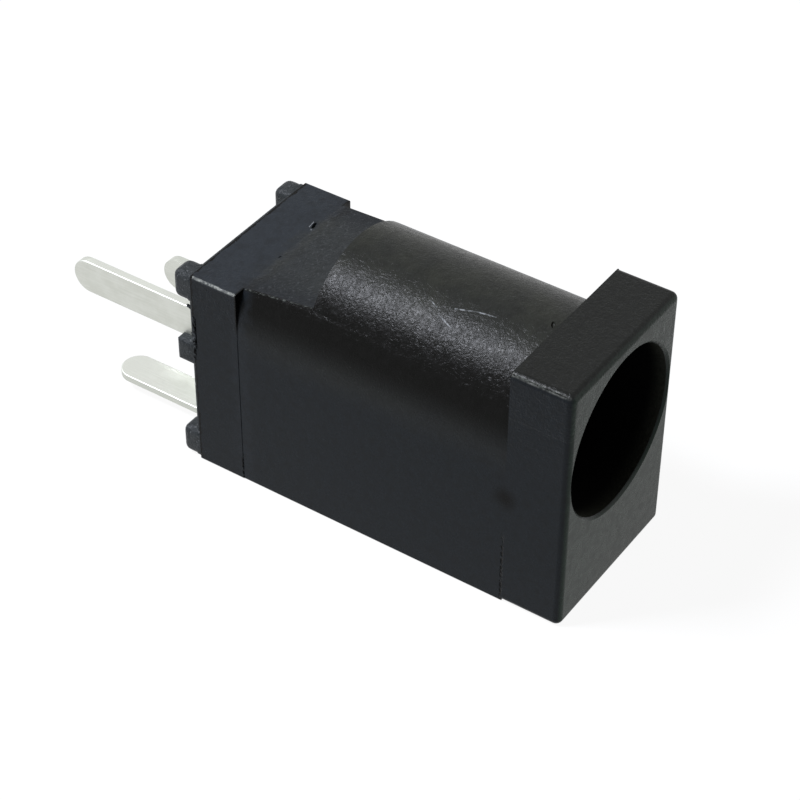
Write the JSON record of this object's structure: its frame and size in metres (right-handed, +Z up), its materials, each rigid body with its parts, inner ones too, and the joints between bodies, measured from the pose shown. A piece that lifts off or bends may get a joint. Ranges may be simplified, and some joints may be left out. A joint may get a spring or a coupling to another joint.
{
  "type": "dc barrel jack",
  "caption": "Straight board-mount DC barrel jack: tall flanged black housing with a round plug bore, rear standoff pegs and flat solder legs.",
  "frame": {"origin": "on the flat underside, below the middle of the whole jack from the mouth to the tip of the longest solder leg", "axes": "+Z up, with the half-round side of the body on top; the mouth faces -Y and the solder legs point along +Y; the side solder leg is on the -X side"},
  "size_m": [0.007, 0.0216, 0.0104],
  "materials": {
    "housing_plastic": "moulded, fine spark-eroded grain",
    "base_plastic": "moulded, coarse grain",
    "pin_nickel": "nickel-plated brass, turned",
    "leg_tin": "tin-plated brass strip",
    "spring_tin": "tin-plated bronze strip"
  },
  "bodies": {
    "root": {"housing": "housing_plastic", "rear_base": "base_plastic", "centre_pin": "pin_nickel", "centre_terminal": "leg_tin", "sleeve_spring": "spring_tin", "switch_contact": "leg_tin"}
  },
  "joints": []
}
